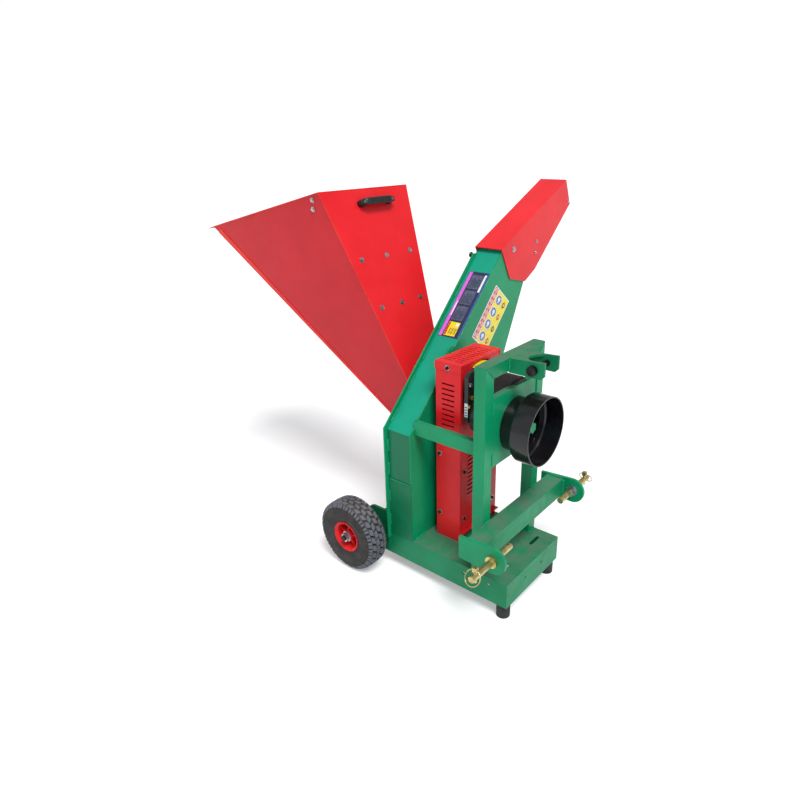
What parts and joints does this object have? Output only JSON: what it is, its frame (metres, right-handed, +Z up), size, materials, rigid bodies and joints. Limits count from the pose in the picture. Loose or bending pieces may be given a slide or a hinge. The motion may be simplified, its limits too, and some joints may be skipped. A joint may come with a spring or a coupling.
{
  "type": "tractor pto wood chipper",
  "caption": "Tractor-driven wood chipper with sloped feed hopper, leaning discharge chute and tilting hood, belt drive under a guard, three-point hitch mast and two transport wheels.",
  "frame": {"origin": "on the ground under the middle of the overall box", "axes": "+X towards the tractor, +Y the side the chips are thrown to, +Z up"},
  "size_m": [1.4558, 1.1868, 1.2649],
  "materials": {
    "green_paint": "gloss green enamel on steel",
    "red_paint": "gloss red powder coat on steel sheet",
    "black_paint": "satin black paint on a casting",
    "black_plastic": "moulded black plastic",
    "rubber": "black rubber",
    "tyre": "black tyre rubber with dust",
    "steel": "bright steel",
    "zinc": "yellow zinc plate",
    "brass": "plain brass"
  },
  "bodies": {
    "chassis": {"base_tray": "green_paint", "rubber_feet": "rubber", "foot_bolts": "steel", "axle": "steel", "axle_brackets": "green_paint", "axle_spacer_rings": "steel", "axle_nuts": "zinc", "housing_rear_plate": "green_paint", "housing_front_plate": "green_paint", "chute_back_wall": "green_paint", "housing_side_wall": "green_paint", "chute_outer_wall": "green_paint", "rotor_bearings": "black_paint", "anvil_blade": "steel", "drive_belts": "rubber", "guard_back_plate": "red_paint", "guard_body": "red_paint", "guard_lid": "red_paint", "guard_screws": "steel", "gearbox_housing": "black_paint", "gearbox_cover": "black_paint", "gearbox_bolts": "steel", "gearbox_plugs": "brass", "cross_plate": "green_paint", "pto_guard_cup": "black_plastic", "mast_posts": "green_paint", "mast_top_bar": "green_paint", "mast_arms": "green_paint", "top_link_bracket": "green_paint", "hitch_beam": "green_paint", "hitch_ears": "green_paint", "hitch_pins": "zinc", "hitch_nuts": "zinc", "hopper_front_panel": "red_paint", "hopper_side_panels": "red_paint", "hopper_floor_panel": "red_paint", "hopper_flange": "red_paint", "hopper_handle": "black_plastic", "hopper_screws": "steel", "flap_hangers": "steel"},
    "wheel_left": {"tyre_left": "tyre", "rim_left": "red_paint", "wheel_bushes_left": "black_plastic"},
    "wheel_right": {"tyre_right": "tyre", "rim_right": "red_paint", "wheel_bushes_right": "black_plastic"},
    "rotor": {"rotor_disc": "steel", "rotor_shaft": "steel", "cutter_knives": "steel", "driven_pulley": "steel"},
    "belt_driver": {"drive_pulley": "steel"},
    "pto_input": {"pto_shaft": "steel"},
    "hood": {"deflector_hood": "red_paint"},
    "top_pin": {"top_link_pin": "black_paint"},
    "lynch_left": {"lynch_pin_left": "zinc"},
    "lynch_right": {"lynch_pin_right": "zinc"},
    "ring_left": {"lynch_ring_left": "zinc"},
    "ring_right": {"lynch_ring_right": "zinc"},
    "curtain_upper": {"upper_flap": "rubber"},
    "curtain_lower": {"lower_flap": "rubber"}
  },
  "joints": [
    {"name": "wheel_left_spin", "type": "hinge", "parent": "chassis", "child": "wheel_left", "pos_m": [0.09485, 0.01321, 0.13], "axis": [0, 1, 0], "continuous": true},
    {"name": "wheel_right_spin", "type": "hinge", "parent": "chassis", "child": "wheel_right", "pos_m": [0.09485, -0.46979, 0.13], "axis": [0, 1, 0], "continuous": true},
    {"name": "rotor_spin", "type": "hinge", "parent": "chassis", "child": "rotor", "pos_m": [0.28385, -0.21429, 0.3], "axis": [1, 0, 0], "continuous": true},
    {"name": "drive_pulley_spin", "type": "hinge", "parent": "chassis", "child": "belt_driver", "pos_m": [0.38385, -0.19029, 0.672], "axis": [1, 0, 0], "continuous": true},
    {"name": "pto_spin", "type": "hinge", "parent": "chassis", "child": "pto_input", "pos_m": [0.62385, -0.22828, 0.605], "axis": [1, 0, 0], "continuous": true},
    {"name": "hood_tilt", "type": "hinge", "parent": "chassis", "child": "hood", "pos_m": [0.25185, 0.18671, 1.0495], "axis": [1, 0, 0], "range_deg": [-35, 6]},
    {"name": "top_link_pin_pull", "type": "slide", "parent": "chassis", "child": "top_pin", "axis": [0, -1, 0], "range_m": [0, 0.12]},
    {"name": "lynch_pull_left", "type": "slide", "parent": "chassis", "child": "lynch_left", "axis": [0, 0, 1], "range_m": [0, 0.06]},
    {"name": "lynch_ring_left_swing", "type": "hinge", "parent": "lynch_left", "child": "ring_left", "pos_m": [0.68385, 0.10971, 0.308], "axis": [1, 0, 0], "range_deg": [-32, 58]},
    {"name": "lynch_pull_right", "type": "slide", "parent": "chassis", "child": "lynch_right", "axis": [0, 0, 1], "range_m": [0, 0.06]},
    {"name": "lynch_ring_right_swing", "type": "hinge", "parent": "lynch_right", "child": "ring_right", "pos_m": [0.68385, -0.56629, 0.308], "axis": [-1, 0, 0], "range_deg": [-32, 58]},
    {"name": "upper_curtain_swing", "type": "hinge", "parent": "chassis", "child": "curtain_upper", "pos_m": [-0.01376, -0.14428, 1.03819], "axis": [0, 1, 0], "range_deg": [-15, 60]},
    {"name": "lower_curtain_swing", "type": "hinge", "parent": "chassis", "child": "curtain_lower", "pos_m": [0.0499, -0.14428, 0.88272], "axis": [0, 1, 0], "range_deg": [-15, 60]}
  ],
  "couplings": [
    {"joint": "drive_pulley_spin", "follows": "rotor_spin", "ratio": 1},
    {"joint": "pto_spin", "follows": "rotor_spin", "ratio": -0.4}
  ]
}
